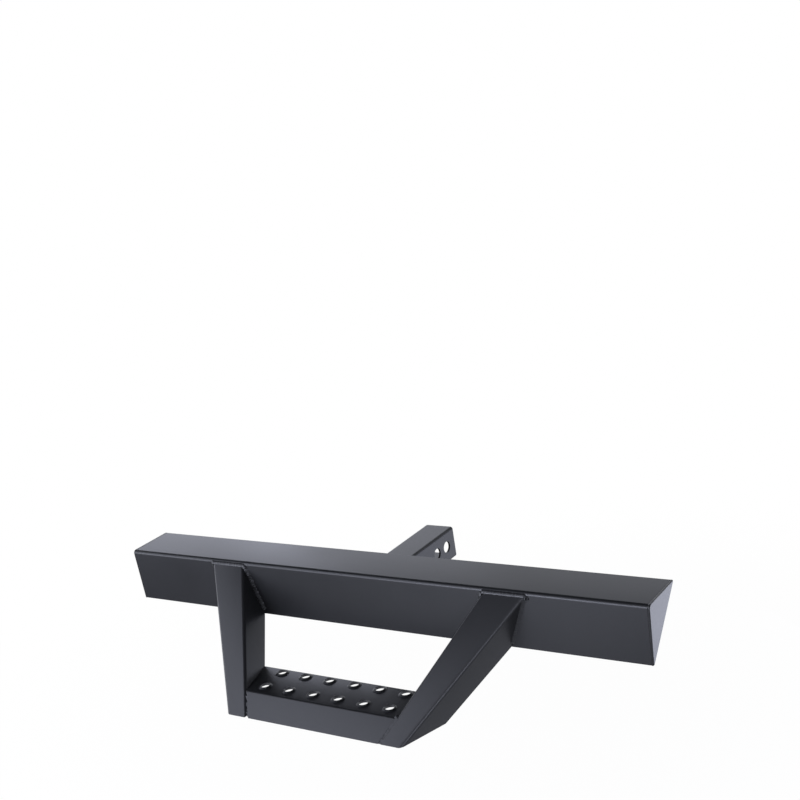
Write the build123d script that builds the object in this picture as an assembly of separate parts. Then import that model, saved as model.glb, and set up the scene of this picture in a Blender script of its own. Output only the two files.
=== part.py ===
from build123d import *
import os
from math import cos, floor, radians, sin, tan

# Hitch receiver step: a folded crossbar on a square shank, with a step slung from two folded legs.
# X runs along the crossbar, Y from the step to the shank's far end, Z is up, all in millimetres.
# The origin is the middle of the shank, on the axis of the pin hole nearest the crossbar.

# Crossbar: plate folded to an angle, closed by a three-cornered cap at each end
BAR_LENGTH = 914.0
BAR_DEPTH = 80.0
BAR_HEIGHT = 86.0
BAR_PLATE = 3.0
BAR_BEND_INSIDE = 2.5
CAP_PLATE = 3.0

# Shank: square tube butted against the back of the crossbar's front plate
SHANK_SIZE = 50.8
SHANK_WALL = 3.2
SHANK_CORNER = 4.0
SHANK_CORNER_INSIDE = 1.0
SHANK_REACH = 236.0
SHANK_DROP = 18.5
PIN_HOLE = 18.0
PIN_INSET = 24.0
PIN_SPACING = 29.0

# Legs: tapered channels folded from plate, leaning forward from the crossbar's front
LEG_LEAN = 45.0
LEG_TOP_DROP = 4.5
LEG_HEEL_MARGIN = 1.0
LEG_TOP_GAP = 432.0
LEG_TOP_WIDTH = 64.5
LEG_FOOT_GAP = 237.0
LEG_FOOT_WIDTH = 37.5
LEG_FOOT_DEPTH = 50.0
LEG_FOOT_RISE = 2.0
LEG_INNER_RISE = 12.0
LEG_PLATE = 3.0
LEG_BEND_INSIDE = 0.5

# Step: tread with a front lip that lies flush with the legs' fronts
TREAD_DROP = 142.0
TREAD_DEPTH = 73.5
TREAD_PLATE = 3.0
TREAD_BEND_INSIDE = 1.5
LIP_HEIGHT = 28.5

# Grip holes: collars drawn upwards from the tread, in rows
GRIP_HOLE = 14.5
GRIP_RIM = 1.5
GRIP_BASE = 20.0
GRIP_HEIGHT = 3.0
GRIP_LAND = 1.5
GRIP_SKIRT = 0.5
GRIP_PITCH = 45.0
GRIP_ROW_PITCH = 42.5
GRIP_REAR_MARGIN = 11.5
GRIP_EDGE_MARGIN = 14.0

# Weld beads: size along each face, bulge of the face, and the depth by which a seam bead lies under flush
LEG_WELD = 4.0
LEG_TOP_WELD = 2.5
SHANK_WELD = 5.0
CAP_WELD = 3.5
TREAD_WELD = 3.5
WELD_CROWN = 0.5
WELD_ROOT = 1.2
SEAM_SINK = 0.6

# Places that follow from the sizes
lean = radians(LEG_LEAN)
bar_bend = BAR_BEND_INSIDE + BAR_PLATE
leg_bend = LEG_BEND_INSIDE + LEG_PLATE
tread_bend = TREAD_BEND_INSIDE + TREAD_PLATE
bar_front = PIN_INSET + PIN_SPACING - SHANK_REACH
bar_back = bar_front + BAR_DEPTH
bar_top = SHANK_SIZE / 2 + SHANK_DROP
bar_bottom = bar_top - BAR_HEIGHT
cap_inside = BAR_LENGTH / 2 - CAP_PLATE
shank_end = PIN_INSET + PIN_SPACING
leg_top = bar_top - LEG_TOP_DROP
leg_depth = (leg_top - bar_bottom - LEG_HEEL_MARGIN) * sin(lean)
tread_top = bar_top - TREAD_DROP
foot = tread_top - LIP_HEIGHT
slope_length = (leg_top - foot) / cos(lean)
tread_front = bar_front - (leg_top - tread_top) * tan(lean)
tread_rear = tread_front + TREAD_DEPTH
toe = bar_front - (leg_top - foot) * tan(lean)

# The legs' front faces and the lip share this plane: local X is along the bar, local Y up the slope
leg_plane = Plane(origin=(0, bar_front, leg_top), x_dir=(1, 0, 0), z_dir=(0, -cos(lean), sin(lean)))
down_slope = Vector(0, -sin(lean), -cos(lean))


def side_x(top_x, foot_x, run):
    """X of a leg's side edge, at a run down the slope from the leg's top."""
    return top_x + (foot_x - top_x) * run / slope_length


def side_normal(top_x, foot_x):
    """Direction square to a leg's side and level with its front face, towards +X."""
    across = Vector(slope_length, 0, 0)
    along = (foot_x - top_x) * -down_slope
    return (across + along).normalized()


inner_top = LEG_TOP_GAP / 2
inner_foot = LEG_FOOT_GAP / 2
outer_top = inner_top + LEG_TOP_WIDTH
outer_foot = inner_foot + LEG_FOOT_WIDTH
inner_normal = side_normal(inner_top, inner_foot)
outer_normal = side_normal(outer_top, outer_foot)
inner_side = Plane(origin=(inner_top, bar_front, leg_top), z_dir=inner_normal)
front_side = Plane(origin=(0, bar_front, 0), z_dir=(0, -1, 0))
heel_run = slope_length - LEG_FOOT_DEPTH * tan(lean)
heel = leg_plane.from_local_coords(Vector(0, -heel_run, -LEG_FOOT_DEPTH))
heel_top = Vector(0, bar_front, bar_bottom + LEG_HEEL_MARGIN)
rear_side = Plane(origin=heel, z_dir=Vector(1, 0, 0).cross(heel_top - heel))


def foot_cut(degrees):
    """Plane that starts at the toe and rises to the rear by an angle."""
    rise = radians(degrees)
    return Plane(origin=(0, toe, foot), z_dir=(0, -sin(rise), cos(rise)))


foot_side = foot_cut(LEG_FOOT_RISE)


def corner_near(sketch, point):
    """The sketch's corner that lies nearest to a point."""
    return sketch.vertices().sort_by_distance(point)[0]


def make_crossbar():
    """Plate folded once, with its top level and its front upright."""
    outline = make_face(Polyline(
        (bar_back, bar_top), (bar_front, bar_top), (bar_front, bar_bottom),
        (bar_front + BAR_PLATE, bar_bottom), (bar_front + BAR_PLATE, bar_top - BAR_PLATE),
        (bar_back, bar_top - BAR_PLATE), close=True))
    outline = fillet(corner_near(outline, (bar_front, bar_top)), bar_bend)
    inside = (bar_front + BAR_PLATE, bar_top - BAR_PLATE)
    outline = fillet(corner_near(outline, inside), BAR_BEND_INSIDE)
    return extrude(Plane.YZ * outline, cap_inside, both=True)


def make_end_cap():
    """Three-cornered plate that closes the right end of the fold."""
    outline = make_face(Polyline(
        (bar_front, bar_top), (bar_back, bar_top), (bar_back, bar_top - BAR_PLATE),
        (bar_front + BAR_PLATE, bar_bottom), (bar_front, bar_bottom), close=True))
    outline = fillet(corner_near(outline, (bar_front, bar_top)), bar_bend)
    return Pos(cap_inside, 0, 0) * extrude(Plane.YZ * outline, CAP_PLATE)


def make_shank():
    """Square tube, open at its far end, with two holes across it for a hitch pin."""
    start = bar_front + BAR_PLATE
    bore = SHANK_SIZE - 2 * SHANK_WALL
    section = RectangleRounded(SHANK_SIZE, SHANK_SIZE, SHANK_CORNER)
    section -= RectangleRounded(bore, bore, SHANK_CORNER_INSIDE)
    face = Plane(origin=(0, start, 0), x_dir=(1, 0, 0), z_dir=(0, 1, 0))
    tube = extrude(face * section, shank_end - start)
    for hole in (0, PIN_SPACING):
        tube -= Pos(0, hole, 0) * Rot(0, 90, 0) * Cylinder(PIN_HOLE / 2, 2 * SHANK_SIZE)
    return tube


def leg_prism(inset, near, far):
    """Block under the right leg's front face, between two depths, drawn in by inset at both sides."""
    inner_shift = inset / inner_normal.X
    outer_shift = inset / outer_normal.X
    outline = make_face(Polyline(
        (side_x(inner_top, inner_foot, -leg_depth) + inner_shift, leg_depth),
        (side_x(outer_top, outer_foot, -leg_depth) - outer_shift, leg_depth),
        (side_x(outer_top, outer_foot, slope_length) - outer_shift, -slope_length),
        (side_x(inner_top, inner_foot, slope_length) + inner_shift, -slope_length), close=True))
    return Pos(0, 0, -near) * extrude(outline, near - far)


def lengthwise_edges(solid, level):
    """The edges that run up the leg at one level below its front face."""
    def fits(edge):
        return abs(edge.center().Z - level) < 1e-4 and abs(edge.tangent_at(0.5).Y) > 0.5
    return solid.edges().filter_by(fits)


def make_leg():
    """Right leg: front plate and two flanges of one fold, cut to the bar, along the rear and at the foot.

    The flange next to the step is trimmed further, to just under the tread.
    """
    channel = leg_prism(0, 0, leg_depth) - leg_prism(LEG_PLATE, LEG_PLATE, 2 * leg_depth)
    channel = fillet(lengthwise_edges(channel, 0), leg_bend)
    channel = fillet(lengthwise_edges(channel, -LEG_PLATE), LEG_BEND_INSIDE)
    channel = leg_plane * channel
    for side in (front_side, rear_side, foot_side):
        channel = split(channel, bisect_by=side, keep=Keep.TOP)
    fold_end = inner_side.offset(leg_bend)
    inner_flange = split(channel, bisect_by=fold_end, keep=Keep.BOTTOM)
    inner_flange = split(inner_flange, bisect_by=foot_cut(LEG_INNER_RISE), keep=Keep.TOP)
    return inner_flange + split(channel, bisect_by=fold_end, keep=Keep.TOP)


def make_collar():
    """Ring of sheet drawn up around one grip hole, with a flat skirt that joins the tread."""
    hole = GRIP_HOLE / 2
    base = GRIP_BASE / 2
    rim = hole + GRIP_RIM
    flank = (base - rim) / GRIP_HEIGHT
    under = hole + (GRIP_HEIGHT - GRIP_LAND + TREAD_PLATE) * flank
    skirt = base + GRIP_SKIRT
    section = make_face(Polyline(
        (base, 0), (rim, GRIP_HEIGHT), (hole, GRIP_HEIGHT), (hole, GRIP_HEIGHT - GRIP_LAND),
        (under, -TREAD_PLATE), (skirt, -TREAD_PLATE), (skirt, 0), close=True))
    return revolve(Plane.XZ * section, Axis.Z)


def grip_places():
    """Middles of the grip holes: as many rows and columns as the tread has room for."""
    margin = GRIP_BASE / 2 + GRIP_SKIRT
    room = TREAD_DEPTH - GRIP_REAR_MARGIN - margin
    rows = floor(room / GRIP_ROW_PITCH) + 1
    front_row = tread_rear - GRIP_REAR_MARGIN - (rows - 1) * GRIP_ROW_PITCH
    reach = inner_side.to_local_coords(Vector(0, front_row, tread_top)).Z
    half_width = -reach / inner_normal.X - GRIP_EDGE_MARGIN
    columns = floor(2 * half_width / GRIP_PITCH) + 1
    middle = (front_row + tread_rear - GRIP_REAR_MARGIN) / 2
    return Pos(0, middle, tread_top) * GridLocations(GRIP_PITCH, GRIP_ROW_PITCH, columns, rows)


def make_tread():
    """Sheet folded into tread and front lip, cut to the legs' sides, with its grip holes."""
    lip_back = TREAD_PLATE / cos(lean)
    inside = (tread_front - TREAD_PLATE * tan(lean) + lip_back, tread_top - TREAD_PLATE)
    outline = make_face(Polyline(
        (tread_rear, tread_top), (tread_front, tread_top), (toe, foot), (toe + lip_back, foot),
        inside, (tread_rear, tread_top - TREAD_PLATE), close=True))
    outline = fillet(corner_near(outline, (tread_front, tread_top)), tread_bend)
    outline = fillet(corner_near(outline, inside), TREAD_BEND_INSIDE)
    sheet = extrude(Plane.YZ * outline, inner_top, both=True)
    opening = Cylinder(GRIP_BASE / 2 + GRIP_SKIRT, 3 * TREAD_PLATE)
    collar = make_collar()
    places = grip_places()
    sheet = sheet - [place * opening for place in places]
    sheet = sheet + [place * collar for place in places]
    sheet = split(sheet, bisect_by=inner_side, keep=Keep.BOTTOM)
    return split(sheet, bisect_by=mirror_plane(inner_side), keep=Keep.BOTTOM)


def mirror_plane(plane):
    """The same plane on the left half."""
    origin = plane.origin
    normal = plane.z_dir
    return Plane(origin=(-origin.X, origin.Y, origin.Z), z_dir=(-normal.X, normal.Y, normal.Z))


def bead(start, end, face_a, face_b, leg, plates):
    """Weld bead from start to end in a corner; face_a and face_b run out of the corner on its two faces.

    The section is drawn a little into both plates and then cut by them, so the bead lies tight on each.
    """
    run = end - start
    across = Plane(origin=start, x_dir=face_a, z_dir=run)
    toe_a = Vector(leg, 0)
    toe_b = leg * Vector(face_b.dot(across.x_dir), face_b.dot(across.y_dir))
    turn = 1 if toe_b.Y > 0 else -1
    into_a = Vector(0, -turn * WELD_ROOT)
    into_b = turn * WELD_ROOT / leg * Vector(-toe_b.Y, toe_b.X)
    middle = (toe_a + toe_b) / 2
    crown = middle + middle.normalized() * WELD_CROWN
    root = -WELD_ROOT / leg * (toe_a + toe_b)
    outline = Curve() + [
        Polyline(toe_b, toe_b + into_b, root, toe_a + into_a, toe_a),
        ThreePointArc(toe_a, crown, toe_b)]
    filler = extrude(across * make_face(outline), run.length)
    for plate in plates:
        filler -= plate
    return filler


crossbar = make_crossbar()
end_cap = make_end_cap()
shank = make_shank()
leg = make_leg()
tread = make_tread()


def make_leg_top_weld():
    """Bead over the top edge of the right leg's front plate."""
    start = Vector(inner_top + leg_bend, bar_front, leg_top)
    end = Vector(outer_top - leg_bend, bar_front, leg_top)
    return bead(start, end, Vector(0, 0, 1), down_slope, LEG_TOP_WELD, [crossbar, leg])


def make_flange_weld(top_x, normal, side):
    """Bead down the outside of one flange of the right leg; side is -1 towards the middle, 1 away."""
    slant = normal.Z / normal.X
    first = leg_bend / sin(lean)
    last = leg_depth / sin(lean) - LEG_WELD
    start = Vector(top_x + slant * first, bar_front, leg_top - first)
    end = Vector(top_x + slant * last, bar_front, leg_top - last)
    on_bar = side * Vector(1, 0, slant).normalized()
    on_leg = (end - start).cross(normal).normalized()
    return bead(start, end, on_bar, on_leg, LEG_WELD, [crossbar, leg])


def make_seam_weld():
    """Filler in the groove between the right leg's rounded bend and the end of the lip."""
    first = (leg_top - tread_top) / cos(lean) + tread_bend
    far = leg_bend / inner_normal.X
    outline = make_face(Polyline(
        (side_x(inner_top, inner_foot, first), -first),
        (side_x(inner_top, inner_foot, first) + far, -first),
        (side_x(inner_top, inner_foot, slope_length) + far, -slope_length),
        (side_x(inner_top, inner_foot, slope_length), -slope_length), close=True))
    filler = leg_plane * (Pos(0, 0, -SEAM_SINK) * extrude(outline, SEAM_SINK - LEG_PLATE))
    return split(filler - leg, bisect_by=foot_side, keep=Keep.TOP)


def on_inner_side(y, z):
    """Point on the right leg's inner side."""
    off = inner_normal.Y * (y - bar_front) + inner_normal.Z * (z - leg_top)
    return Vector(inner_top - off / inner_normal.X, y, z)


def make_tread_weld():
    """Bead under the right end of the tread, along the leg's inner side."""
    under = tread_top - TREAD_PLATE
    start = on_inner_side(tread_rear - 2 * TREAD_WELD, under)
    end = on_inner_side(tread_front + 2 * tread_bend, under)
    run = (end - start).normalized()
    on_tread = run.cross(Vector(0, 0, 1))
    on_leg = inner_normal.cross(run)
    return bead(start, end, on_tread, on_leg, TREAD_WELD, [tread, leg])


def make_shank_weld():
    """Bead all round the shank where it butts against the front plate."""
    wide = SHANK_SIZE + 2 * SHANK_WELD
    face = Plane(origin=(0, bar_front + BAR_PLATE, 0), x_dir=(1, 0, 0), z_dir=(0, 1, 0))
    on_bar = face * RectangleRounded(wide, wide, SHANK_CORNER + SHANK_WELD)
    slim = SHANK_SIZE + WELD_CROWN
    on_shank = face.offset(SHANK_WELD) * RectangleRounded(slim, slim, SHANK_CORNER)
    core = face * RectangleRounded(SHANK_SIZE, SHANK_SIZE, SHANK_CORNER)
    return loft([on_bar, on_shank]) - extrude(core, 2 * SHANK_WELD)


def make_cap_weld():
    """Two beads inside the right end, under the top plate and behind the front plate."""
    inward = Vector(-1, 0, 0)
    under = bar_top - BAR_PLATE
    behind = bar_front + BAR_PLATE
    clear = 2 * CAP_WELD
    top_run = bead(
        Vector(cap_inside, behind + clear, under), Vector(cap_inside, bar_back - clear, under),
        inward, Vector(0, 0, -1), CAP_WELD, [crossbar, end_cap])
    front_run = bead(
        Vector(cap_inside, behind, under - clear), Vector(cap_inside, behind, bar_bottom + clear),
        inward, Vector(0, 1, 0), CAP_WELD, [crossbar, end_cap])
    return top_run + front_run


# Pieces of the right half that the left half repeats, mirrored
paired = {
    "end_cap": end_cap,
    "leg": leg,
    "weld_cap": make_cap_weld(),
    "weld_leg_top": make_leg_top_weld(),
    "weld_leg_inner": make_flange_weld(inner_top, inner_normal, -1),
    "weld_leg_outer": make_flange_weld(outer_top, outer_normal, 1),
    "weld_step_seam": make_seam_weld(),
    "weld_step_tread": make_tread_weld(),
}

pieces = {
    "crossbar": crossbar,
    "shank_tube": shank,
    "step_tread": tread,
    "weld_shank": make_shank_weld(),
}
for name, piece in paired.items():
    pieces[f"{name}_right"] = piece
    pieces[f"{name}_left"] = mirror(piece, about=Plane.YZ)

os.makedirs("parts", exist_ok=True)
for name, piece in pieces.items():
    export_step(piece, f"parts/{name}.step")
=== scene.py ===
import math

import bmesh
import bpy
import numpy as np
from mathutils import Matrix, Vector


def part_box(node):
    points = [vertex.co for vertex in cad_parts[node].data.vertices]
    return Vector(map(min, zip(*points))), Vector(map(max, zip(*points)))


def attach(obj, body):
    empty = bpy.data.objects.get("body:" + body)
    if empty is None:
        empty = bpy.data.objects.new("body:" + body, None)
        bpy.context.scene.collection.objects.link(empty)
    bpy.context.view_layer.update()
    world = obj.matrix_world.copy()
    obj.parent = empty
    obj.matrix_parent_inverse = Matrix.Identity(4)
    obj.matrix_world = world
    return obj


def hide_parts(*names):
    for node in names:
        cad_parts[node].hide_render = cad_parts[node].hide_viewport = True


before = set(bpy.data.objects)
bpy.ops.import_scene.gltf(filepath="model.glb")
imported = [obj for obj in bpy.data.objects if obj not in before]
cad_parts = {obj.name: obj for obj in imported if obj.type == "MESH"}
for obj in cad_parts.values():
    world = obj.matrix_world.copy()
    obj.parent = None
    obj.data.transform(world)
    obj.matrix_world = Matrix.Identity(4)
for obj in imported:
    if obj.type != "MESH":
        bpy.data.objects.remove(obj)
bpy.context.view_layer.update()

# Crossbar: the long plate that everything hangs on, folded so that its top is level and its front upright.
# It is mild steel plate, cut flat, bent on a press brake, welded to the rest and powder-coated satin black.
PLATE = 0.003
BAR_BEND = 0.0055
BAR_BEND_INSIDE = 0.0025
EDGE_ROUND = 0.0005
EDGE_SEGMENTS = 3
SHARP_ANGLE = math.radians(40)
MERGE_REACH = 2e-6
COAT_DARK = (0.0082, 0.0085, 0.0097, 1)
COAT_LIGHT = (0.0114, 0.0118, 0.0135, 1)
COAT_SHEEN = (0.90, 0.92, 1.0, 1)
COAT_SPECULAR = 0.28
COAT_ROUGHNESS = 0.31
COAT_RELIEF = 0.00002
GRAIN_SCALE = 1500
PEEL_SCALE = 240
CLOUD_SCALE = 14
CLOUD_TINT_SHARE = 0.7
PEEL_RELIEF_SHARE = 0.55
CLOUD_ROUGHNESS = 0.04
GRAIN_ROUGHNESS = 0.02


class Socket:
    """An output of a shader node, for use in sums: each operator adds a Math node to the same tree."""

    def __init__(self, tree, output=None):
        self.tree = tree
        self.output = output

    def node(self, kind, settings, sockets, output=0):
        """New node of a kind, with its settings first and then the values or links of its sockets."""
        made = self.tree.nodes.new(kind)
        for name, value in settings.items():
            setattr(made, name, value)
        for name, value in sockets.items():
            if isinstance(value, Socket):
                self.tree.links.new(value.output, made.inputs[name])
            else:
                made.inputs[name].default_value = value
        return Socket(self.tree, made.outputs[output] if made.outputs else None)

    def math(self, operation, left, right):
        """Math node of two values, either of which may be a plain number."""
        return self.node("ShaderNodeMath", {"operation": operation}, {0: left, 1: right})

    def __add__(self, other):
        return self.math("ADD", self, other)

    def __radd__(self, other):
        return self.math("ADD", other, self)

    def __sub__(self, other):
        return self.math("SUBTRACT", self, other)

    def __rsub__(self, other):
        return self.math("SUBTRACT", other, self)

    def __mul__(self, other):
        return self.math("MULTIPLY", self, other)

    def __rmul__(self, other):
        return self.math("MULTIPLY", other, self)


def powder_coat(name, roughness, relief_depth):
    """Satin black coat: baked powder with a fine grain, a soft orange peel and a slightly uneven gloss.

    The tint and the roughness waver with the grain and with wide clouds, and the relief is grain and peel.
    """
    material = bpy.data.materials.new(name)
    material.use_nodes = True
    tree = material.node_tree
    tree.nodes.clear()
    coat = Socket(tree)
    place = coat.node("ShaderNodeTexCoord", {}, {}, "Object")

    def noise(scale, detail):
        sockets = {"Vector": place, "Scale": scale, "Detail": detail, "Roughness": 0.5}
        return coat.node("ShaderNodeTexNoise", {}, sockets, "Fac")

    grain = noise(GRAIN_SCALE, 1)
    peel = noise(PEEL_SCALE, 1)
    cloud = noise(CLOUD_SCALE, 2)
    shade = cloud * CLOUD_TINT_SHARE + grain * (1 - CLOUD_TINT_SHARE)
    tint = coat.node(
        "ShaderNodeMix", {"data_type": "RGBA"}, {"Factor": shade, 6: COAT_DARK, 7: COAT_LIGHT}, 2)
    height = grain * (1 - PEEL_RELIEF_SHARE) + peel * PEEL_RELIEF_SHARE
    relief = coat.node(
        "ShaderNodeBump", {}, {"Strength": 1.0, "Distance": relief_depth, "Height": height})
    smoothest = roughness - (CLOUD_ROUGHNESS + GRAIN_ROUGHNESS) / 2
    body = coat.node(
        "ShaderNodeBsdfPrincipled", {},
        {"Base Color": tint, "Roughness": smoothest + cloud * CLOUD_ROUGHNESS + grain * GRAIN_ROUGHNESS,
         "Normal": relief, "IOR": 1.5, "Specular IOR Level": COAT_SPECULAR, "Specular Tint": COAT_SHEEN})
    coat.node("ShaderNodeOutputMaterial", {}, {"Surface": body})
    return material


satin_black = powder_coat("satin_black_coat", COAT_ROUGHNESS, COAT_RELIEF)


def rounded_chain(corners, radii, steps=10):
    """Open chain of points in a plane, with each inner corner swapped for a tangent arc of its radius.

    An arc's middle lies on the corner's bisector, at the radius over the sine of half the corner's angle.
    The arc then turns from one tangent point to the other in equal steps.
    """
    corners = np.asarray(corners, float)
    chain = [corners[:1]]
    turn = np.linspace(0, 1, steps + 1)[:, None]
    for before, corner, after, radius in zip(corners, corners[1:], corners[2:], radii):
        back = (before - corner) / np.linalg.norm(before - corner)
        onward = (after - corner) / np.linalg.norm(after - corner)
        half = np.arccos(back @ onward) / 2
        bisector = (back + onward) / np.linalg.norm(back + onward)
        middle = corner + bisector * radius / np.sin(half)
        start = corner + back * radius / np.tan(half) - middle
        end = corner + onward * radius / np.tan(half) - middle
        sweep = np.pi - 2 * half
        arc = (np.sin((1 - turn) * sweep) * start + np.sin(turn * sweep) * end) / np.sin(sweep)
        chain.append(middle + arc)
    chain.append(corners[-1:])
    return np.concatenate(chain)


def along_x(chain, stations):
    """Grid of a chain of (y, z) points carried straight along X: one row for each point of the chain."""
    rows, columns = len(chain), len(stations)
    grid = np.empty((rows, columns, 3))
    grid[..., 0] = stations
    grid[..., 1:] = chain[:, None, :]
    return grid


def strip(first, second):
    """Grid of two rows: the band between two lines of points."""
    return np.stack([first, second])


def sheet_shell(outer, inner):
    """The two faces of a sheet and the four cut edges between their borders."""
    return [
        outer, inner, strip(outer[0], inner[0]), strip(outer[-1], inner[-1]),
        strip(outer[:, 0], inner[:, 0]), strip(outer[:, -1], inner[:, -1])]


def coated_piece(name, patches, material, slot, *nodes):
    """Closed piece from grids of points, in place of the solids that it dresses.

    Four neighbours in a grid make a quad, and the borders that grids share are merged.
    """
    points = np.concatenate([patch.reshape(-1, 3) for patch in patches])
    quads = []
    start = 0
    for patch in patches:
        rows, columns = patch.shape[:2]
        index = start + np.arange(rows * columns).reshape(rows, columns)
        corners = (index[:-1, :-1], index[1:, :-1], index[1:, 1:], index[:-1, 1:])
        quads.append(np.stack(corners, axis=-1).reshape(-1, 4))
        start += rows * columns
    mesh = bpy.data.meshes.new(name)
    mesh.from_pydata(points, [], np.concatenate(quads))
    work = bmesh.new()
    work.from_mesh(mesh)
    bmesh.ops.remove_doubles(work, verts=work.verts, dist=MERGE_REACH)
    bmesh.ops.recalc_face_normals(work, faces=work.faces)
    work.to_mesh(mesh)
    work.free()
    mesh.shade_smooth()
    mesh.materials.append(material)
    piece = bpy.data.objects.new(name, mesh)
    bpy.context.scene.collection.objects.link(piece)
    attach(piece, "root")
    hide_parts(*nodes)
    return piece


def round_edges(piece, width, limit="ANGLE"):
    """Breaks the cut edges by a small radius, as tumbling and the coat do, and keeps the flats flat.

    The edges are picked by their angle, or by a weight of their own.
    """
    rounding = piece.modifiers.new("broken_edges", "BEVEL")
    rounding.width = width
    rounding.segments = EDGE_SEGMENTS
    rounding.limit_method = limit
    rounding.angle_limit = SHARP_ANGLE
    rounding.use_clamp_overlap = False
    rounding.harden_normals = True


bar_low, bar_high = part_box("crossbar")
bar_front, bar_bottom = bar_low.y, bar_low.z
bar_back, bar_top = bar_high.y, bar_high.z
bar_stations = np.array([bar_low.x, bar_high.x])
bar_outer = rounded_chain([(bar_back, bar_top), (bar_front, bar_top), (bar_front, bar_bottom)], [BAR_BEND])
bar_inner = rounded_chain(
    [(bar_back, bar_top - PLATE), (bar_front + PLATE, bar_top - PLATE), (bar_front + PLATE, bar_bottom)],
    [BAR_BEND_INSIDE])
bar_sheet = sheet_shell(along_x(bar_outer, bar_stations), along_x(bar_inner, bar_stations))
bar = coated_piece("crossbar_plate", bar_sheet, satin_black, "powder_coat", "crossbar")
round_edges(bar, EDGE_ROUND)

# End caps: three-cornered plates that close the two ends of the fold.
# They are cut from the same steel plate, set flush with the crossbar, welded inside and dressed outside.
CAP_ROUND = 0.0015
SIDES = (("right", 1), ("left", -1))


def round_outer_face(plate, face_x):
    """Rounds the border of a plate's outer face, and leaves the edges that meet the crossbar sharp.

    A border edge is one that has a single polygon of that face beside it.
    """
    mesh = plate.data
    centres = np.empty(3 * len(mesh.polygons))
    corners = np.empty(len(mesh.polygons), int)
    corner_edges = np.empty(len(mesh.loops), int)
    mesh.polygons.foreach_get("center", centres)
    mesh.polygons.foreach_get("loop_total", corners)
    mesh.loops.foreach_get("edge_index", corner_edges)
    on_face = np.repeat(np.isclose(centres[::3], face_x), corners)
    beside = np.bincount(corner_edges[on_face], minlength=len(mesh.edges))
    weight = mesh.attributes.new("bevel_weight_edge", "FLOAT", "EDGE")
    weight.data.foreach_set("value", (beside == 1).astype(float))
    round_edges(plate, CAP_ROUND, "WEIGHT")


cap_front = rounded_chain([(bar_front, bar_bottom), (bar_front, bar_top), (bar_back, bar_top)], [BAR_BEND])
cap_runs = np.linalg.norm(np.diff(cap_front, axis=0), axis=1)
cap_share = np.concatenate([[0], np.cumsum(cap_runs)])[:, None] / cap_runs.sum()
cap_slope = (1 - cap_share) * (bar_front + PLATE, bar_bottom) + cap_share * (bar_back, bar_top - PLATE)
for side, sign in SIDES:
    cap_low, cap_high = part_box(f"end_cap_{side}")
    faces = [
        strip(along_x(cap_front, [x])[:, 0], along_x(cap_slope, [x])[:, 0]) for x in (cap_low.x, cap_high.x)]
    cap = coated_piece(
        f"cap_plate_{side}", sheet_shell(*faces), satin_black, "powder_coat", f"end_cap_{side}")
    round_outer_face(cap, cap_high.x if sign > 0 else cap_low.x)

# Shank: the square tube that slides into the receiver, with two holes across it for the hitch pin.
# It is welded steel tube, butted against the back of the crossbar's front plate and coated with the rest.
SHANK_WALL = 0.0032
SHANK_CORNER = 0.004
SHANK_CORNER_INSIDE = 0.001
SHANK_FLAT = 0.0195
PIN_HOLE = 0.018
PIN_SPACING = 0.029
CELL_STEPS = 12


def hole_cell(centre, low, high, near, far, radii, heights, steps):
    """Grid from a rectangle, in to a round hole, through it, and out to the same rectangle on the far face.

    The first and last rows run round the rectangle in even steps, at the heights near and far.
    Each row between is a circle of its own radius and height, on the rays from the centre to those steps.
    """
    share = np.arange(steps) / steps
    zero = np.zeros(steps)
    one = np.ones(steps)
    square = np.concatenate([
        np.column_stack([share, zero]), np.column_stack([one, share]),
        np.column_stack([1 - share, one]), np.column_stack([zero, 1 - share]), [(0, 0)]])
    border = np.asarray(low) + square * (np.asarray(high) - np.asarray(low))
    ray = border - np.asarray(centre)
    ray /= np.linalg.norm(ray, axis=1, keepdims=True)
    circles = np.asarray(centre) + np.asarray(radii)[:, None, None] * ray
    plan = np.concatenate([border[None], circles, border[None]])
    height = np.concatenate([[near], heights, [far]])
    level = np.broadcast_to(height[:, None, None], plan.shape[:2] + (1,))
    return np.concatenate([plan, level], axis=-1)


shank_low, shank_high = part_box("shank_tube")
half = shank_high.x
bore = half - SHANK_WALL
flat_steps = np.linspace(-SHANK_FLAT, SHANK_FLAT, CELL_STEPS + 1)
hole_places = (0.0, PIN_SPACING)
cell_runs = [
    np.linspace(place - PIN_SPACING / 2, place + PIN_SPACING / 2, CELL_STEPS + 1) for place in hole_places]
shank_stations = np.concatenate([[shank_low.y], cell_runs[0], cell_runs[1][1:], [shank_high.y]])


def tube_line(chain, stations, quarter):
    """Grid of a chain of (x, z) points, given quarter turns about the tube's axis and carried along Y."""
    turned = np.asarray(chain, float)
    for _ in range(quarter):
        turned = np.column_stack([-turned[:, 1], turned[:, 0]])
    grid = np.empty((len(turned), len(stations), 3))
    grid[..., 0] = turned[:, :1]
    grid[..., 1] = stations
    grid[..., 2] = turned[:, 1:]
    return grid


shank_patches = []
walls = {}
for quarter in range(4):
    for reach, corner in ((half, SHANK_CORNER), (bore, SHANK_CORNER_INSIDE)):
        wall = np.column_stack([np.full(CELL_STEPS + 1, reach), flat_steps])
        bend = rounded_chain([(reach, SHANK_FLAT), (reach, reach), (SHANK_FLAT, reach)], [corner])
        walls[quarter, reach] = np.concatenate([
            tube_line(wall, shank_stations, quarter), tube_line(bend, shank_stations, quarter)])
        shank_patches.append(tube_line(bend, shank_stations, quarter))
        if quarter % 2:
            shank_patches.append(tube_line(wall, shank_stations, quarter))
        else:
            shank_patches.append(tube_line(wall, shank_stations[:2], quarter))
            shank_patches.append(tube_line(wall, shank_stations[-2:], quarter))
    outer, inner = walls[quarter, half], walls[quarter, bore]
    shank_patches.append(strip(outer[:, 0], inner[:, 0]))
    shank_patches.append(strip(outer[:, -1], inner[:, -1]))
pin_radius = PIN_HOLE / 2
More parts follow.
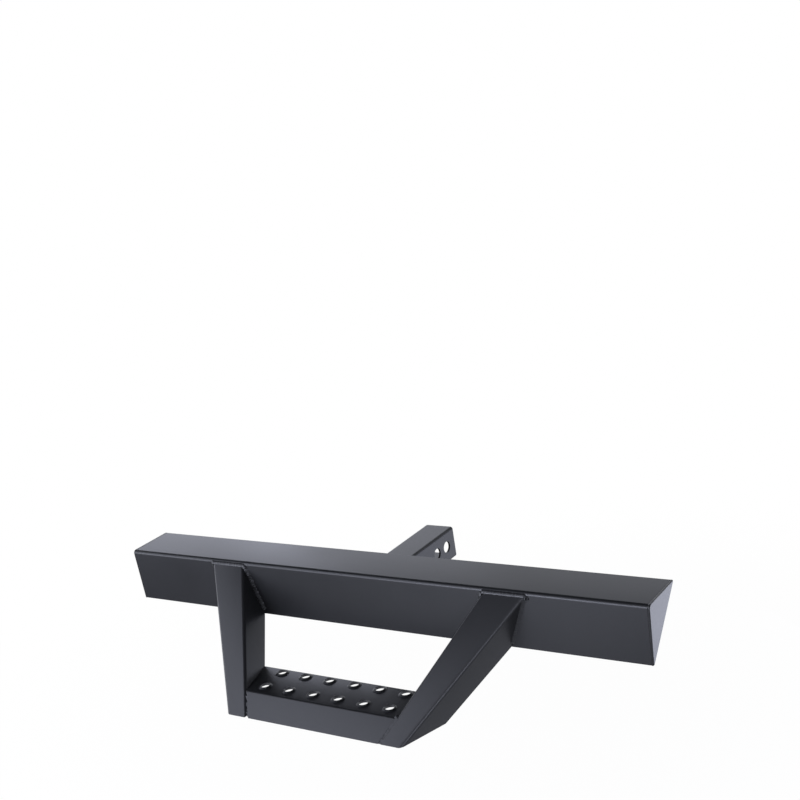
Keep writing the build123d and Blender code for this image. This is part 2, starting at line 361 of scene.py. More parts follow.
for face in (1, -1):
    for place, run in zip(hole_places, cell_runs):
        cell = hole_cell(
            (place, 0), (run[0], -SHANK_FLAT), (run[-1], SHANK_FLAT), half, bore,
            [pin_radius, pin_radius], [half, bore], CELL_STEPS)
        shank_patches.append(np.stack([face * cell[..., 2], cell[..., 0], cell[..., 1]], axis=-1))
shank = coated_piece("shank_wall", shank_patches, satin_black, "powder_coat", "shank_tube")
round_edges(shank, EDGE_ROUND)

# Legs: two tapered channels that lean forward from the crossbar and carry the step.
# Each is one steel plate with both sides folded back, cut to fit the crossbar and welded on around its top.
LEG_LEAN = math.radians(45)
LEG_TOP_DROP = 0.0045
LEG_HEEL_MARGIN = 0.001
LEG_TOP_GAP = 0.432
LEG_TOP_WIDTH = 0.0645
LEG_FOOT_GAP = 0.237
LEG_FOOT_WIDTH = 0.0375
LEG_FOOT_DEPTH = 0.050
LEG_FOOT_RISE = math.radians(2)
LEG_INNER_RISE = math.radians(12)
LEG_BEND = 0.0045
LEG_BEND_INSIDE = 0.0015
LEG_STATIONS = 9

leg_top = bar_top - LEG_TOP_DROP
leg_depth = (leg_top - bar_bottom - LEG_HEEL_MARGIN) * math.sin(LEG_LEAN)
leg_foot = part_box("leg_right")[0].z
slope_length = (leg_top - leg_foot) / math.cos(LEG_LEAN)
inner_edge = (LEG_TOP_GAP / 2, LEG_FOOT_GAP / 2)
outer_edge = (inner_edge[0] + LEG_TOP_WIDTH, inner_edge[1] + LEG_FOOT_WIDTH)


def edge_x(edge, run):
    """X of a leg's side, which goes evenly from its top to its foot, at a run down the slope."""
    return edge[0] + (edge[1] - edge[0]) * run / slope_length


def edge_slant(edge):
    """How much longer a step across X is than the same step square to a leg's side."""
    return math.hypot(1, (edge[1] - edge[0]) / slope_length)


def slope_run(y, z):
    """Run of a point down the legs' slope, from the line where the legs' fronts meet the crossbar."""
    return (bar_front - y) * math.sin(LEG_LEAN) + (leg_top - z) * math.cos(LEG_LEAN)


def on_slope(x, run, depth):
    """Points at a run down the slope and a depth under the legs' front face."""
    y = bar_front - run * math.sin(LEG_LEAN) + depth * math.cos(LEG_LEAN)
    z = leg_top - run * math.cos(LEG_LEAN) - depth * math.sin(LEG_LEAN)
    return np.stack(np.broadcast_arrays(x, y, z), axis=-1)


def foot_run(depth, angle=LEG_FOOT_RISE):
    """Run at which a line at a depth under the legs' front face meets the cut at the foot.

    The cut starts at the toe and rises evenly to the rear by an angle.
    """
    rise = math.tan(angle)
    fall = (leg_top - leg_foot) * (1 - math.tan(LEG_LEAN) * rise)
    lost = depth * (math.sin(LEG_LEAN) + math.cos(LEG_LEAN) * rise)
    return (fall - lost) / (math.cos(LEG_LEAN) - math.sin(LEG_LEAN) * rise)


def heel_depth(angle):
    """Depth at which a flange's rear edge, which draws in evenly towards the heel, meets the foot's cut."""
    rear_start = leg_depth / math.tan(LEG_LEAN)
    rear_end = slope_length - LEG_FOOT_DEPTH * math.tan(LEG_LEAN)
    above = foot_run(leg_depth, angle) - rear_start
    past = rear_end - foot_run(LEG_FOOT_DEPTH, angle)
    return leg_depth + (LEG_FOOT_DEPTH - leg_depth) * above / (above + past)


def channel_face(inset, bend):
    """One face of the right leg's folded plate: a channel of lines that keep their distance from a side.

    Every line runs from the crossbar's front plane to the cut at the foot, which is steeper next to the
    step. The depth of the rear edges falls evenly on the way, and each of the other lines keeps its own.
    """
    section = rounded_chain([(inset, leg_depth), (inset, inset), (inset + 2 * bend, inset)], [bend])[:-1]
    across, first_depth = section[:, :1], section[:, 1:]
    first_run = first_depth / math.tan(LEG_LEAN)
    share = np.linspace(0, 1, LEG_STATIONS)
    sides = []
    for edge, inward, angle in ((inner_edge, 1, LEG_INNER_RISE), (outer_edge, -1, LEG_FOOT_RISE)):
        last_depth = np.concatenate([[[heel_depth(angle)]], first_depth[1:]])
        depth = first_depth + (last_depth - first_depth) * share
        run = first_run + (foot_run(last_depth, angle) - first_run) * share
        sides.append(on_slope(edge_x(edge, run) + inward * across * edge_slant(edge), run, depth))
    return np.concatenate([sides[0], sides[1][::-1]])


def mirrored(patches, sign):
    """The same grids on the right half, or with X turned round for the left half."""
    return [patch * (sign, 1, 1) for patch in patches]


leg_sheet = sheet_shell(channel_face(0, LEG_BEND), channel_face(PLATE, LEG_BEND_INSIDE))
for side, sign in SIDES:
    leg = coated_piece(
        f"leg_channel_{side}", mirrored(leg_sheet, sign), satin_black, "powder_coat", f"leg_{side}")
    round_edges(leg, EDGE_ROUND)

# Step: a sheet folded into a tread and a front lip that lies flush with the legs' fronts.
# Its grip holes are punched and drawn upwards into collars, which drain water and bite into a sole.
TREAD_DROP = 0.142
TREAD_BEND = 0.0045
TREAD_BEND_INSIDE = 0.0015
FOLD_LEAD = 1e-5
GRIP_HOLE = 0.0140
GRIP_RIM = 0.0005
GRIP_BASE = 0.0212
GRIP_HEIGHT = 0.0025
GRIP_LAND = 0.0008
GRIP_BLEND = 0.00085
GRIP_UNDER = 0.0183
COLLAR_ROUNDS = (0.0022, 0.0004, 0.0003, 0.0004, 0.0003)
COLLAR_STEPS = 5
GRIP_PITCH = 0.045
GRIP_ROW_PITCH = 0.0425
GRIP_REAR_MARGIN = 0.0115
GRIP_COLUMNS = 6
GRIP_SIDE_ROOM = 0.0155
GRIP_STEPS = 14
LIP_GAPS = {1: 0.0008, -1: 0.0030}

tread_low, tread_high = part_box("step_tread")
tread_top = bar_top - TREAD_DROP
tread_rear = tread_high.y
tread_front = bar_front - (leg_top - tread_top) * math.tan(LEG_LEAN)
lip_foot = tread_low.z
toe = tread_low.y
lip_back = PLATE / math.cos(LEG_LEAN)
fold_reach = TREAD_BEND * math.tan(LEG_LEAN / 2)
fold_line = tread_front + fold_reach
fold_outer = rounded_chain(
    [(fold_line + FOLD_LEAD, tread_top), (tread_front, tread_top), (toe, lip_foot)], [TREAD_BEND])[1:]
under_corner = (tread_front - PLATE * math.tan(LEG_LEAN) + lip_back, tread_top - PLATE)
fold_inner = rounded_chain(
    [(fold_line + FOLD_LEAD, under_corner[1]), under_corner, (toe + lip_back, lip_foot)],
    [TREAD_BEND_INSIDE])[1:]


def tread_end(y, z):
    """X of the tread's right end, which lies on the leg's inner side."""
    return edge_x(inner_edge, slope_run(y, z))


grip_radius = GRIP_HOLE / 2
rim_radius = grip_radius + GRIP_RIM
base_radius = GRIP_BASE / 2
under_radius = GRIP_UNDER / 2
collar = rounded_chain(
    [(base_radius + GRIP_BLEND, 0), (base_radius, 0), (rim_radius, GRIP_HEIGHT), (grip_radius, GRIP_HEIGHT),
     (grip_radius, GRIP_HEIGHT - GRIP_LAND), (under_radius, -PLATE), (base_radius + GRIP_BLEND, -PLATE)],
    COLLAR_ROUNDS, COLLAR_STEPS)
grip_rows = (tread_rear - GRIP_REAR_MARGIN - GRIP_ROW_PITCH, tread_rear - GRIP_REAR_MARGIN)
row_ends = (fold_line, sum(grip_rows) / 2, tread_rear)
column_middles = (np.arange(GRIP_COLUMNS) - (GRIP_COLUMNS - 1) / 2) * GRIP_PITCH
column_ends = np.concatenate([
    [column_middles[0] - GRIP_SIDE_ROOM], column_middles[1:] - GRIP_PITCH / 2,
    [column_middles[-1] + GRIP_SIDE_ROOM]])
tread_patches = []
for row, hole_y in enumerate(grip_rows):
    for column, hole_x in enumerate(column_middles):
        low = (column_ends[column], row_ends[row])
        high = (column_ends[column + 1], row_ends[row + 1])
        tread_patches.append(hole_cell(
            (hole_x, hole_y), low, high, tread_top, tread_top - PLATE,
            collar[:, 0], tread_top + collar[:, 1], GRIP_STEPS))


def even_steps(ends):
    """Even steps between each two neighbours of a row of ends, as a cell's border has them."""
    runs = [np.linspace(a, b, GRIP_STEPS, endpoint=False) for a, b in zip(ends[:-1], ends[1:])]
    return np.concatenate(runs + [ends[-1:]])


grip_x = even_steps(column_ends)
grip_y = even_steps(row_ends)
for sign in (1, -1):
    lines = []
    for z in (tread_top, tread_top - PLATE):
        inside = np.stack(np.broadcast_arrays(sign * column_ends[-1], grip_y, z), axis=-1)
        end = np.stack(np.broadcast_arrays(sign * tread_end(grip_y, z), grip_y, z), axis=-1)
        tread_patches.append(strip(inside, end))
        lines.append(end)
    tread_patches.append(strip(*lines))
    rear_corners = [np.stack([patch[0][-1], patch[1][-1]]) for patch in tread_patches[-3:-1]]
    tread_patches.append(np.stack(rear_corners))
rear_lines = [
    np.stack(np.broadcast_arrays(grip_x, tread_rear, z), axis=-1) for z in (tread_top, tread_top - PLATE)]
tread_patches.append(strip(*rear_lines))

folds = []
for chain in (fold_outer, fold_inner):
    on_lip = np.clip((fold_line - chain[:, 0]) / (2 * fold_reach), 0, 1)
    end = tread_end(chain[:, 0], chain[:, 1])[:, None]
    grid = along_x(chain, np.concatenate([-end[0], grip_x, end[0]]))
    gap = np.where(grid[..., 0] > 0, LIP_GAPS[1], LIP_GAPS[-1])
    grid[..., 0] *= (end - gap * on_lip[:, None]) / end[0]
    folds.append(grid)
# The fold's rear border is shared with the tread, so its cut edge is left out.
fold_shell = sheet_shell(*folds)
tread_patches += fold_shell[:2] + fold_shell[3:]
tread = coated_piece("tread_sheet", tread_patches, satin_black, "powder_coat", "step_tread")
round_edges(tread, EDGE_ROUND)

# Weld beads: the runs that join the plates, laid by hand with a wire feed torch.
# Each is steel filler in a corner, with the ripple that the moving pool leaves, under the same coat.
RIPPLE_PITCH = 0.0024
RIPPLE_ROWS = 8
BEAD_COLUMNS = 13
BEAD_CROWN = 0.00025
RIPPLE_HEIGHT = 0.00012
RIPPLE_LAG = 0.35
LUMP_PITCH = 0.0066
LUMP_HEIGHT = 0.0002
LUMP_WANDER = 1.6
LUMPS_PER_WANDER = 2.7
MEAN_WIDTH = 0.93
LUMP_WIDTH = 0.09
BEAD_SINK = 0.00012
LEG_WELD = 0.004
INNER_SPREAD = 1.8
INNER_ROUGH = 1.2
OUTER_SPREAD = 1.0
OUTER_CROWN = -2 * BEAD_CROWN
OUTER_ROUGH = 0.5
LEG_TOP_WELD = 0.0025
LEG_TOP_SPREAD = 1.8
LEG_TOP_CROWN = 3.6 * BEAD_CROWN
LEG_TOP_ROUGH = 0.5
PAST_INNER_EDGE = 0.003
PAST_OUTER_EDGE = 0.001
SHANK_WELD = 0.005
RING_STEPS = 16
CAP_WELD = 0.0035
TREAD_WELD = 0.0035
SEAM_SINKS = {1: (0.0, 0.0006), -1: (0.0018, 0.0021)}
SEAM_WAVES = ((0.25, 0.0019, 0), (0.12, 0.0008, 1))
SEAM_LAG = 0.002
SEAM_RIPPLE = 0.1
RUN_END_CORNERS = ((0, -0.6), (1, -0.6), (0.9, 0.3), (0.45, 0.45))
RUN_END_ROUNDS = (0.1, 0.3, 0.2, 0.1)
RUN_END_STEPS = 6
RUN_END_TURNS = 32
PIT_RADIUS = 0.3
CRATER_PIT = -0.3
LUMP_TOP = 0.55
RUN_END_SIZE = 0.0036
SEAM_END_SIZE = 0.0042
WELD_ROUGHNESS = 0.33
WELD_RELIEF = 0.00003

weld_coat = powder_coat("satin_black_over_weld", WELD_ROUGHNESS, WELD_RELIEF)


def bead_surface(path, face_a, face_b, size, crown=BEAD_CROWN, rough=1.0, closed=False):
    """Weld bead carried along a path in the corner of two faces.

    A face's vector is the way to its toe, and its length the reach over the bead's size.
    Across it, t goes from the toe on one face to the toe on the other: the straight line between the toes,
    plus a bulge of 4 t (1 - t) times the crown, square to that line. Along it, in proportion to rough,
    uneven lumps, a sine whose phase wanders by a slower sine, swell the bulge and the width, and a row of
    scallops |sin(pi phase)| lifts the bulge; their phase lags towards the toes, so that each is a crescent.
    At an open end both toes draw in on an ellipse.
    """
    face_a = np.broadcast_to(face_a, path.shape)
    face_b = np.broadcast_to(face_b, path.shape)
    steps = np.linalg.norm(np.diff(path, axis=0), axis=1)
    run = np.concatenate([[0], np.cumsum(steps)])[:, None]
    length = run[-1, 0]
    near_end = np.ones_like(run) if closed else np.clip(np.minimum(run, length - run) / size, 0, 1)
    taper = np.sqrt(1 - (1 - near_end) ** 2)
    turn = 2 * np.pi * run / length
    lumps = round(length / LUMP_PITCH)
    lump = np.sin(lumps * turn + LUMP_WANDER * np.sin(round(lumps / LUMPS_PER_WANDER) * turn))
    width = (size * taper * (MEAN_WIDTH + LUMP_WIDTH * rough * lump))[..., None]
    t = np.linspace(0, 1, BEAD_COLUMNS)
    across = t[:, None]
    between = face_b - face_a
    lean = np.sum((face_a + face_b) * between, axis=1) / np.sum(between ** 2, axis=1)
    out = face_a + face_b - lean[:, None] * between
    out = (out / np.linalg.norm(out, axis=1, keepdims=True))[:, None, :]
    pitch = length / round(length / RIPPLE_PITCH)
    scallop = np.abs(np.sin(np.pi * (run - RIPPLE_LAG * size * (2 * t - 1) ** 2) / pitch))
    bulge = crown + rough * (LUMP_HEIGHT * lump + RIPPLE_HEIGHT * scallop)
    lift = 4 * t * (1 - t) * bulge * taper - BEAD_SINK
    chord = (1 - across) * face_a[:, None, :] * width + across * face_b[:, None, :] * width
    face = path[:, None, :] + chord + out * lift[..., None]
    root = path[:, None, :] - out * BEAD_SINK
    return np.concatenate([face, root, face[:, :1]], axis=1)


def straight(start, end):
    """Evenly spaced points on a straight line, a few for each ripple."""
    start = np.asarray(start, float)
    end = np.asarray(end, float)
    count = round(np.linalg.norm(end - start) / RIPPLE_PITCH) * RIPPLE_ROWS + 1
    return start + np.linspace(0, 1, count)[:, None] * (end - start)


def unit(vector):
    """A vector's direction, as a vector of length 1."""
    return np.asarray(vector, float) / np.linalg.norm(vector)


down_slope = np.array([0, -math.sin(LEG_LEAN), -math.cos(LEG_LEAN)])
into_leg = np.array([0, math.cos(LEG_LEAN), -math.sin(LEG_LEAN)])


def flange_bead(edge, away, spread, crown, rough):
    """Bead down the outside of a leg's flange, spread over the crossbar's front.

    It runs from the flange's bend to its heel, and away is the side of X to which it spreads.
    """
    first = LEG_BEND / 4
    last = leg_depth - LEG_WELD * math.sin(LEG_LEAN)
    ends = [on_slope(edge_x(edge, depth), depth / math.tan(LEG_LEAN), depth) for depth in (first, last)]
    path = straight(*ends)
    along = unit(ends[1] - ends[0])
    on_bar = unit(np.cross((0, 1, 0), along))
    on_bar *= away * np.sign(on_bar[0])
    side_line = unit((edge[1] - edge[0], *(slope_length * down_slope[1:])))
    square = np.cross(into_leg, side_line)
    on_leg = np.cross(along, square)
    on_leg *= np.sign(on_leg @ (0, -1, 0))
    return bead_surface(path, spread * on_bar, unit(on_leg), LEG_WELD, crown, rough)


top_toe = LEG_TOP_DROP - LEG_TOP_WELD
toe_back = BAR_BEND - math.sqrt(BAR_BEND ** 2 - (BAR_BEND - top_toe) ** 2)
top_reach = (inner_edge[0] - PAST_INNER_EDGE, outer_edge[0] + PAST_OUTER_EDGE)
top_path = straight(*[(x, bar_front, leg_top) for x in top_reach])
top_bead = bead_surface(
    top_path, np.array([0, toe_back / LEG_TOP_WELD, 1.0]), LEG_TOP_SPREAD * down_slope,
    LEG_TOP_WELD, LEG_TOP_CROWN, LEG_TOP_ROUGH)


def weld_end(middle, outward, size, top):
    """Round end of a weld run: a low dome, with a lump or a pit in the middle, where the pool froze last.

    A profile of distance from the axis and height along it is carried round the axis in even turns.
    """
    profile = size * rounded_chain(
        [*RUN_END_CORNERS, (PIT_RADIUS, top), (0, top)], RUN_END_ROUNDS, RUN_END_STEPS)
    outward = unit(outward)
    aside = unit(np.cross(outward, (0, 0, 1)))
    turn = np.linspace(0, 2 * np.pi, RUN_END_TURNS + 1)[:, None, None]
    around = np.cos(turn) * aside + np.sin(turn) * np.cross(outward, aside)
    return np.asarray(middle) + profile[:, :1] * around + profile[:, 1:] * outward


def seam_bead(gap, sink_above, sink_below):
    """Filler in the groove between the lip's end, which stops short by a gap, and the leg's rounded bend.

    Across it, t goes from the lip's end to the bend, whose face lies in from the leg's side by the radius
    less the root of the radius squared less the height to the bend's middle squared. Its depth goes evenly
    from the sink above to the sink below, with uneven waves in proportion, less the ripple's crescents.
    """
    first = slope_run(tread_front, tread_top)
    length = slope_length - first
    share = np.linspace(0, 1, round(length / RIPPLE_PITCH) * RIPPLE_ROWS + 1)[:, None]
    t = np.linspace(0, 1, BEAD_COLUMNS)
    scallop = np.abs(np.sin(np.pi * (length * share - SEAM_LAG * (2 * t - 1) ** 2) / RIPPLE_PITCH))
    wave = sum(height * np.sin(length * share / reach + phase) for height, reach, phase in SEAM_WAVES)
    sink = (sink_above + (sink_below - sink_above) * share) * (1 + wave)
    depth = sink - 4 * t * (1 - t) * SEAM_RIPPLE * sink * scallop
    run = first + (foot_run(depth) - first) * share
    bend_in = LEG_BEND - np.sqrt(LEG_BEND ** 2 - (LEG_BEND - depth) ** 2)
    across = t * (bend_in + gap + 2 * BEAD_SINK) - gap - BEAD_SINK
    top = on_slope(edge_x(inner_edge, run) + across * edge_slant(inner_edge), run, depth)
    floor_run = first + (foot_run(PLATE) - first) * share
    bottom = on_slope(edge_x(inner_edge, floor_run) + BEAD_SINK, floor_run, np.full_like(share, PLATE))
    around = np.concatenate([top, bottom, top[:, :1]], axis=1)
    ends = [strip(row[:BEAD_COLUMNS], np.broadcast_to(row[BEAD_COLUMNS], (BEAD_COLUMNS, 3)))
            for row in (around[0], around[-1])]
    return [around, *ends]


outer_corner = np.array([outer_edge[0], bar_front, leg_top])
inner_corner = np.array([inner_edge[0], bar_front, leg_top])
seam_corner = np.array([tread_end(tread_front, tread_top), tread_front, tread_top])
last_crater = weld_end(outer_corner + (0.002, -0.001, -0.004), (0.5, -1, 0.5), RUN_END_SIZE, CRATER_PIT)
first_lump = weld_end(inner_corner + (-0.003, -0.001, -0.003), (-0.1, -0.8, 0.8), RUN_END_SIZE, LUMP_TOP)
seam_lump = weld_end(seam_corner + (0.0005, 0.0026, -0.0006), (0.3, -0.7, 0.7), SEAM_END_SIZE, LUMP_TOP)
run_ends = {
    ("weld_leg_outer", "right"): [last_crater],
    ("weld_leg_inner", "left"): [first_lump],
    ("weld_step_seam", "right"): [seam_lump],
}

under = tread_top - PLATE
tread_run = [
    np.array([tread_end(y, under), y, under])
    for y in (tread_rear - 2 * TREAD_WELD, tread_front + 2 * TREAD_BEND)]
tread_path = straight(*tread_run)
tread_along = unit(tread_run[1] - tread_run[0])
inner_line = unit((inner_edge[1] - inner_edge[0], *(slope_length * down_slope[1:])))
inner_square = unit(np.cross(inner_line, into_leg))
on_tread = np.cross(tread_along, (0, 0, 1))
on_tread *= -np.sign(on_tread[0])
on_inner = np.cross(tread_along, inner_square)
on_inner *= -np.sign(on_inner[2])
tread_bead = bead_surface(tread_path, unit(on_tread), unit(on_inner), TREAD_WELD)

cap_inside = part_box("end_cap_right")[0].x
inward = np.array([-1.0, 0, 0])
cap_clear = 2 * CAP_WELD
behind, below = bar_front + PLATE, bar_top - PLATE
cap_beads = [
    bead_surface(
        straight((cap_inside, behind + cap_clear, below), (cap_inside, bar_back - cap_clear, below)),
        inward, np.array([0, 0, -1.0]), CAP_WELD),
    bead_surface(
        straight((cap_inside, behind, below - cap_clear), (cap_inside, behind, bar_bottom + cap_clear)),
        inward, np.array([0, 1.0, 0]), CAP_WELD)]

inner_bead = flange_bead(inner_edge, -1, INNER_SPREAD, BEAD_CROWN, INNER_ROUGH)
outer_bead = flange_bead(outer_edge, 1, OUTER_SPREAD, OUTER_CROWN, OUTER_ROUGH)
for side, sign in SIDES:
    beads = {
        "weld_leg_top": [top_bead],
        "weld_step_tread": [tread_bead],
        "weld_cap": cap_beads,
        "weld_step_seam": seam_bead(LIP_GAPS[sign], *SEAM_SINKS[sign]),
        "weld_leg_outer": [outer_bead],
        "weld_leg_inner": [inner_bead],
    }
    for kind, runs in beads.items():
        patches = mirrored(runs + run_ends.get((kind, side), []), sign)
        coated_piece(f"{kind}_bead_{side}", patches, weld_coat, "coated_weld", f"{kind}_{side}")

ring_corner = rounded_chain([(half, 0), (half, half), (0, half)], [SHANK_CORNER], RING_STEPS)
ring_quarters = [ring_corner]
for quarter in range(3):
    ring_quarters.append(np.column_stack([-ring_quarters[-1][:, 1], ring_quarters[-1][:, 0]]))
ring = np.concatenate([quarter[:-1] for quarter in ring_quarters] + [ring_corner[:1]])
ring_runs = np.concatenate([[0], np.cumsum(np.linalg.norm(np.diff(ring, axis=0), axis=1))])
ring_steps = np.linspace(0, ring_runs[-1], round(ring_runs[-1] / RIPPLE_PITCH) * RIPPLE_ROWS + 1)
ring_x, ring_z = (np.interp(ring_steps, ring_runs, ring[:, axis]) for axis in range(2))
flat_x, flat_z = (np.clip(line, SHANK_CORNER - half, half - SHANK_CORNER) for line in (ring_x, ring_z))
ring_out = np.column_stack([ring_x - flat_x, np.zeros_like(ring_x), ring_z - flat_z])
ring_out /= np.linalg.norm(ring_out, axis=1, keepdims=True)
ring_path = np.column_stack([ring_x, np.full_like(ring_x, behind), ring_z])
shank_bead = bead_surface(ring_path, ring_out, np.array([0, 1.0, 0]), SHANK_WELD, closed=True)
coated_piece("weld_shank_bead", [shank_bead], weld_coat, "coated_weld", "weld_shank")

# Studio: a pale floor below the part, which hangs at the height it has in use, and a white surround.
# Large soft lamps stand low around it, and the ceiling is a dark card, so that the bends show a crisp line.
FLOOR_LEVEL = -0.45
FLOOR_REACH = 12.0
FLOOR_COLOUR = (0.80, 0.80, 0.80, 1)
SURROUND_LIGHT = 0.55
SHADOW_SHARE = 0.035
MIRRORED_SHARE = 0.8
SHADOW_NEAR = 0.5
SHADOW_FAR = 1.6
PALE_LIGHT = (0.88, 0.90, 1.0)
COOL_LIGHT = (0.80, 0.83, 1.0)
PURE_WHITE = (1, 1, 1, 1)
COOL_WHITE = (0.93, 0.95, 1.0, 1)
BLACK_FELT = (0.01, 0.01, 0.01, 1)
DARK_CLOTH = (0.15, 0.15, 0.15, 1)
GREY_CLOTH = (0.32, 0.32, 0.32, 1)
CARD_LIFT = 0.002


def ray_kind(start, name):
    """1 for rays of one kind, such as those from the camera, and 0 for all others."""
    return start.node("ShaderNodeLightPath", {}, {}, name)


def seen_white(start):
    """1 for rays that show the surround: from the camera, in a reflection or through something clear."""
    kinds = [ray_kind(start, name) for name in ("Is Camera Ray", "Is Glossy Ray", "Is Transmission Ray")]
    return start.math("MINIMUM", kinds[0] + kinds[1] + kinds[2], 1.0)


def surround_colour(start):
    """White to the camera, and a little cool in a reflection."""
    return start.node(
        "ShaderNodeMix", {"data_type": "RGBA"},
        {"Factor": ray_kind(start, "Is Glossy Ray"), 6: PURE_WHITE, 7: COOL_WHITE}, 2)


floor_mesh = bpy.data.meshes.new("studio_floor")
floor_mesh.from_pydata(
    [(x, y, FLOOR_LEVEL) for x, y in (
        (-FLOOR_REACH, -FLOOR_REACH), (FLOOR_REACH, -FLOOR_REACH),
        (FLOOR_REACH, FLOOR_REACH), (-FLOOR_REACH, FLOOR_REACH))], [], [(0, 1, 2, 3)])
floor_finish = bpy.data.materials.new("pale_floor")
floor_finish.use_nodes = True
floor_finish.node_tree.nodes.clear()
floor_start = Socket(floor_finish.node_tree)
floor_matt = floor_start.node("ShaderNodeBsdfDiffuse", {}, {"Color": FLOOR_COLOUR})
floor_white = floor_start.node(
    "ShaderNodeEmission", {}, {"Color": surround_colour(floor_start), "Strength": 1.0})
floor_place = floor_start.node("ShaderNodeTexCoord", {}, {}, "Object")
floor_distance = floor_start.node("ShaderNodeVectorMath", {"operation": "LENGTH"}, {0: floor_place}, "Value")
shadow_fade = floor_start.node(
    "ShaderNodeMapRange", {"interpolation_type": "SMOOTHSTEP"},
    {"Value": floor_distance, "From Min": SHADOW_NEAR, "From Max": SHADOW_FAR,
     "To Min": 1.0, "To Max": 0.0})
mirrored_more = ray_kind(floor_start, "Is Glossy Ray") * (MIRRORED_SHARE - SHADOW_SHARE)
matt_share = shadow_fade * (SHADOW_SHARE + mirrored_more)
floor_mix = floor_start.node(
    "ShaderNodeMixShader", {},
    {"Fac": seen_white(floor_start) * (1 - matt_share), 1: floor_matt, 2: floor_white})
floor_start.node("ShaderNodeOutputMaterial", {}, {"Surface": floor_mix})
floor_mesh.materials.append(floor_finish)
floor = bpy.data.objects.new("studio_floor", floor_mesh)
bpy.context.scene.collection.objects.link(floor)

world = bpy.data.worlds.new("white_surround")
world.use_nodes = True
world.node_tree.nodes.clear()
world_start = Socket(world.node_tree)
world_level = SURROUND_LIGHT + seen_white(world_start) * (1 - SURROUND_LIGHT)
world_light = world_start.node(
    "ShaderNodeBackground", {}, {"Color": surround_colour(world_start), "Strength": world_level})
world_start.node("ShaderNodeOutputWorld", {}, {"Surface": world_light})
bpy.context.scene.world = world


def soft_lamp(name, place, aim, width, height, power, colour):
    """Large soft lamp that faces a point, left out of the picture itself."""
    lamp = bpy.data.lights.new(name, "AREA")
    lamp.shape = "RECTANGLE"
    lamp.size = width
    lamp.size_y = height
    lamp.energy = power
    lamp.color = colour
    holder = bpy.data.objects.new(name, lamp)
    holder.location = place
    holder.rotation_mode = "QUATERNION"
    holder.rotation_quaternion = (Vector(aim) - Vector(place)).to_track_quat("-Z", "Y")
    holder.visible_camera = False
    bpy.context.scene.collection.objects.link(holder)


soft_lamp("lamp_front_left", (-1.30, -1.62, 0.20), (-0.1, -0.20, 0), 1.7, 0.7, 21, PALE_LIGHT)
soft_lamp("lamp_front", (-0.45, -1.95, 0.36), (0.2, -0.20, 0), 0.8, 0.7, 22, PALE_LIGHT)
soft_lamp("lamp_front_right", (1.25, -1.45, 0.05), (0.2, -0.26, 0), 0.7, 0.5, 8, PALE_LIGHT)
soft_lamp("lamp_left_high", (-1.40, -1.00, 0.98), (-0.2, -0.25, 0), 0.9, 0.5, 2.8, PALE_LIGHT)
soft_lamp("lamp_front_high", (-0.85, -1.35, 1.05), (0.2, -0.25, 0), 0.9, 0.5, 4.5, PALE_LIGHT)
soft_lamp("lamp_front_low", (-0.1, -1.1, -0.38), (0.2, -0.18, 0), 0.6, 0.6, 1.4, PALE_LIGHT)
soft_lamp("lamp_left", (-1.95, -0.75, 0.46), (-0.2, -0.26, 0), 0.8, 0.6, 8.0, PALE_LIGHT)
soft_lamp("lamp_behind_left", (-1.72, 1.10, 0.66), (-0.3, -0.14, 0), 0.8, 0.6, 2.6, COOL_LIGHT)
soft_lamp("lamp_behind", (-1.20, 1.40, 0.75), (0, -0.14, 0), 0.8, 0.6, 1.35, COOL_LIGHT)
soft_lamp("lamp_behind_right", (-0.35, 1.62, 0.88), (0.4, -0.14, 0), 0.7, 0.6, 0.6, COOL_LIGHT)
soft_lamp("lamp_right_high", (1.08, 0.66, 0.56), (0.457, -0.2, 0.04), 0.3, 0.4, 2.6, COOL_LIGHT)
soft_lamp("lamp_right_low", (0.86, 0.42, -0.31), (0.457, -0.15, 0), 0.60, 0.60, 3.3, COOL_LIGHT)
soft_lamp("lamp_behind_low", (0.47, 0.72, -0.36), (0.03, 0.12, 0), 0.4, 0.4, 0.75, COOL_LIGHT)


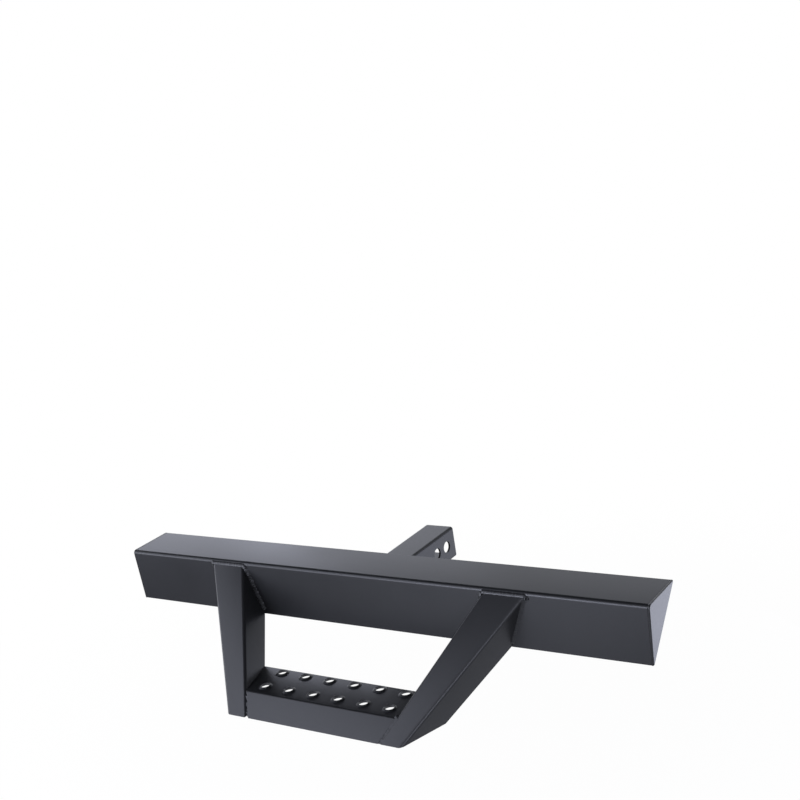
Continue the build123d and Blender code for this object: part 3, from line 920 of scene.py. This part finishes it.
def dark_card(name, corner, along, across, colour):
    """Flat card that takes light away from the faces which mirror it, left out of the picture itself."""
    corner, along, across = Vector(corner), Vector(along), Vector(across)
    mesh = bpy.data.meshes.new(name)
    mesh.from_pydata([corner, corner + along, corner + along + across, corner + across], [], [(0, 1, 2, 3)])
    finish = bpy.data.materials.new(name)
    finish.use_nodes = True
    cloth = finish.node_tree.nodes["Principled BSDF"]
    cloth.inputs["Base Color"].default_value = colour
    cloth.inputs["Specular IOR Level"].default_value = 0.0
    mesh.materials.append(finish)
    card = bpy.data.objects.new(name, mesh)
    card.visible_camera = False
    bpy.context.scene.collection.objects.link(card)


dark_card("ceiling_card", (-2.0, -1.0, 1.25), (4.0, 0, 0), (0, 2.3, 0), BLACK_FELT)
dark_card("floor_card", (-2.4, -1.7, FLOOR_LEVEL + CARD_LIFT), (1.55, 0, 0), (0, 1.3, 0), DARK_CLOTH)
dark_card("back_card", (0.35, 2.4, FLOOR_LEVEL), (1.0, 0, 0), (0, 0, 0.6), GREY_CLOTH)

# Camera: stands in front of the part, to its right and above it, as in the photograph.
# Its place, turn, lens and shift come from a fit of the part's corners to their places in the picture.
CAMERA_PLACE = Vector((1.03197, -1.46259, 0.70693))
CAMERA_FORWARD = Vector((-0.5521, 0.71898, -0.42219)).normalized()
CAMERA_RIGHT = Vector((0.82614, 0.5401, -0.16055)).normalized()
CAMERA_SENSOR = 36
CAMERA_LENS = 54.486
CAMERA_SHIFT = (0.01, 0.29)

camera_up = CAMERA_RIGHT.cross(CAMERA_FORWARD)
camera_turn = Matrix((CAMERA_RIGHT, camera_up, -CAMERA_FORWARD)).transposed()
camera_data = bpy.data.cameras.new("product_view")
camera_data.sensor_width = CAMERA_SENSOR
camera_data.lens = CAMERA_LENS
camera_data.shift_x, camera_data.shift_y = CAMERA_SHIFT
camera = bpy.data.objects.new("product_view", camera_data)
camera.matrix_world = Matrix.Translation(CAMERA_PLACE) @ camera_turn.to_4x4()
bpy.context.scene.collection.objects.link(camera)
bpy.context.scene.camera = camera
bpy.context.scene.view_settings.view_transform = "Standard"
